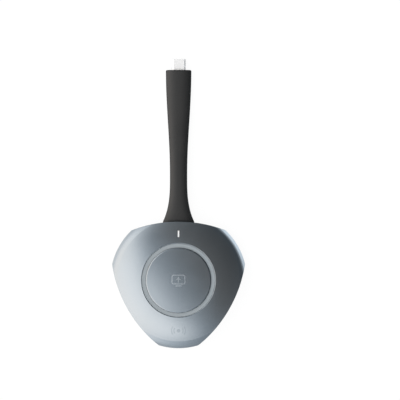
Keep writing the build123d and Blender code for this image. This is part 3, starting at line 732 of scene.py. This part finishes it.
# Stage, camera and light
studio = {
    "view": (0.01284, 0.04788, 1.3374),
    "lens": 200,
    "sensor": 36,
    "clip": (0.01, 20),
    "floorSide": 6.0,
    "floorDrop": 0.0002,             # just clear of the foot pad
    "floorGlow": 0.95,
    "floorShade": 0.07,              # how much of the object's shadow shows
    "floorBounce": 0.3,              # what it throws back at dull surfaces
    "glow": 1.5,                     # strength of all the light
    "spill": 2.5,                    # how much stronger it is on dull surfaces
    "cool": (0.9, 1.0, 1.09),
    "warm": (1.02, 1.0, 0.985),
    # light from above grows one way: sine of the tilt that way, level, warmth
    "way": 213.0,                    # compass angle from +X
    "ceiling": ((-0.4, 0.068, 0.65), (-0.33, 0.091, 0.85), (-0.25, 0.104, 0.95),
                (-0.18, 0.114, 1.1), (-0.11, 0.121, 1.15), (-0.07, 0.145, 0.75),
                (-0.03, 0.184, 0.2), (0.03, 0.26, -0.1), (0.085, 0.365, 0.05),
                (0.12, 0.555, 0.25), (0.165, 0.87, 0.7), (0.25, 1.07, 1.05),
                (0.31, 1.135, 1.0), (0.45, 1.195, 1.4)),
    # light from the sides and off the floor: compass angle from +X, level, warmth
    "sides": ((-180, 1.12, 1.4), (-135, 1.1, 1.2), (-110, 0.84, 0.7), (-100, 0.65, 0.4),
              (-90, 0.54, 0.3), (-80, 0.42, 0.2), (-66, 0.3, 0.1), (-30, 0.13, 0.3),
              (0, 0.078, 0.0), (60, 0.078, 0.0), (90, 0.17, 0.3), (112, 0.45, 0.2),
              (128, 0.84, 0.7), (140, 1.04, 1.0), (160, 1.12, 1.4), (180, 1.12, 1.4)),
    "ground": ((-180, 0.85, 1.1), (-120, 0.55, 0.6), (-90, 0.37, 0.2), (-72, 0.26, 0.0),
               (-40, 0.13, 0.0), (-18, 0.1, 0.0), (0, 0.15, 0.0), (9, 0.65, 0.2),
               (20, 0.84, 0.3), (32, 0.93, 0.3), (46, 0.93, 0.3), (56, 0.5, 0.2),
               (64, 0.15, 0.1), (80, 0.04, 0.0), (91, 0.04, 0.0), (98, 0.3, 0.0),
               (108, 0.3, 0.0), (130, 0.62, 0.6), (150, 0.76, 0.9), (180, 0.85, 1.1)),
    "ceilingEdge": (0.92, 0.83),     # height at which the sides begin, and are full
    "lean": 0.02,                    # the sides begin higher up towards the tail
    "groundEdge": (0.45, 0.0),       # height at which the floor's light begins, and the horizon
    "horizon": 0.34,                 # how much of the floor's light shows at the horizon
    "groundReach": (0.16, 0.08),     # distance at which the rest of it begins, and is full
    "underBody": (0.034, 0.043),     # no light off the floor inside the first, all past the second
}


def tinted(level, warmth):
    return [level / studio["glow"] * (cool + (warm - cool) * warmth)
            for cool, warm in zip(studio["cool"], studio["warm"])]


def lightRamp(tree, source, stops):
    low, high = stops[0][0], stops[-1][0]
    ramp = addNode(tree, "ValToRGB", {"Fac": spread(tree, source, low, high)})
    marks = ramp.color_ramp.elements
    marks.remove(marks[1])
    marks[0].position = 0
    marks[0].color = solid(tinted(*stops[0][1:]))
    for place, level, warmth in stops[1:]:
        marks.new((place - low) / (high - low)).color = solid(tinted(level, warmth))
    return ramp.outputs["Color"]


def studioGroup():
    group, takes, gives = newGroup("studioLight", [("Direction", "Vector")],
                                   [("Above", "Color"), ("Ground", "Color")])
    x, y, z = addNode(group, "SeparateXYZ", {0: takes["Direction"]}).outputs
    turn = math.radians(studio["way"])
    along = calc(group, "ADD", calc(group, "MULTIPLY", x, math.cos(turn)),
                 calc(group, "MULTIPLY", y, math.sin(turn)))
    ceiling = lightRamp(group, along, studio["ceiling"])
    compass = calc(group, "DEGREES", calc(group, "ARCTAN2", y, x))
    sides = lightRamp(group, compass, studio["sides"])
    ground = lightRamp(group, compass, studio["ground"])
    tipped = calc(group, "SUBTRACT", z, calc(group, "MULTIPLY", y, studio["lean"]))
    lower = spread(group, tipped, *studio["ceilingEdge"], smooth=True)
    upper = blendColors(group, lower, ceiling, sides)
    low = spread(group, z, *studio["groundEdge"], 0.0, studio["horizon"], smooth=True)
    feed(group, gives["Above"], blendColors(group, low, upper, ground))
    feed(group, gives["Ground"], ground)
    return group


def emptied(tree):
    tree.nodes.clear()
    return tree


def makeFloor(light):
    deselectAll()
    bpy.ops.mesh.primitive_plane_add(size=studio["floorSide"],
                                     location=(0, 0, -studio["floorDrop"]))
    floor = bpy.context.object
    floor.name = "floor"
    made = bpy.data.materials.new("paleFloor")
    made.use_nodes = True
    tree = emptied(made.node_tree)
    path = addNode(tree, "LightPath").outputs
    place = addNode(tree, "TexCoord").outputs["Object"]
    away = addNode(tree, "VectorMath", {0: place}, operation="LENGTH").outputs["Value"]

    # what gloss sees: the room's light goes over into the floor's, with none under the body
    around = useGroup(tree, light, Direction=place)
    near = spread(tree, away, *studio["groundReach"], smooth=True)
    sweep = blendColors(tree, near, around["Above"], around["Ground"])
    shown = calc(tree, "MULTIPLY", spread(tree, away, *studio["underBody"], smooth=True),
                 studio["glow"])
    bright = addNode(tree, "VectorMath", {0: sweep, "Scale": shown}, operation="SCALE").outputs[0]

    # what the camera sees: near white, with the object's shadow
    white = grey(studio["floorGlow"])
    seen = blendColors(tree, path["Is Glossy Ray"], white, bright)
    glow = addNode(tree, "Emission", {"Color": seen})
    shade = addNode(tree, "BsdfDiffuse", {"Color": grey(studio["floorShade"])})
    lit = addNode(tree, "AddShader", {0: shade.outputs[0], 1: glow.outputs[0]})

    bounce = addNode(tree, "BsdfDiffuse", {"Color": grey(studio["floorBounce"])})
    sharp = calc(tree, "MAXIMUM", path["Is Glossy Ray"], path["Is Transmission Ray"])
    direct = calc(tree, "MAXIMUM", path["Is Camera Ray"], sharp)
    both = addNode(tree, "MixShader", {0: direct, 1: bounce.outputs[0], 2: lit.outputs[0]})
    under = addNode(tree, "NewGeometry").outputs["Backfacing"]    # clear from below
    clear = addNode(tree, "BsdfTransparent")
    whole = addNode(tree, "MixShader", {0: under, 1: both.outputs[0], 2: clear.outputs[0]})
    addNode(tree, "OutputMaterial", {"Surface": whole.outputs[0]})
    floor.data.materials.append(made)


def makeWorld(light):
    world = bpy.data.worlds.new("studio")
    bpy.context.scene.world = world
    world.use_nodes = True
    tree = emptied(world.node_tree)
    path = addNode(tree, "LightPath").outputs
    place = addNode(tree, "TexCoord").outputs["Generated"]
    sweep = useGroup(tree, light, Direction=place)["Above"]
    plain = calc(tree, "MAXIMUM", path["Is Camera Ray"], path["Is Transmission Ray"])
    seen = blendColors(tree, plain, sweep, grey(1 / studio["glow"]))
    level = spread(tree, path["Is Diffuse Ray"], 0, 1,
                   studio["glow"], studio["glow"] * studio["spill"])
    sky = addNode(tree, "Background", {"Color": seen, "Strength": level})
    addNode(tree, "OutputWorld", {"Surface": sky.outputs[0]})


def makeCamera():
    data = bpy.data.cameras.new("camera")
    data.lens = studio["lens"]
    data.sensor_width = studio["sensor"]
    data.clip_start, data.clip_end = studio["clip"]
    camera = bpy.data.objects.new("camera", data)
    camera.location = studio["view"]
    bpy.context.scene.collection.objects.link(camera)
    bpy.context.scene.camera = camera


studioLight = studioGroup()
makeFloor(studioLight)
makeWorld(studioLight)
makeCamera()
bpy.context.scene.view_settings.view_transform = "Standard"
print("stage ready")
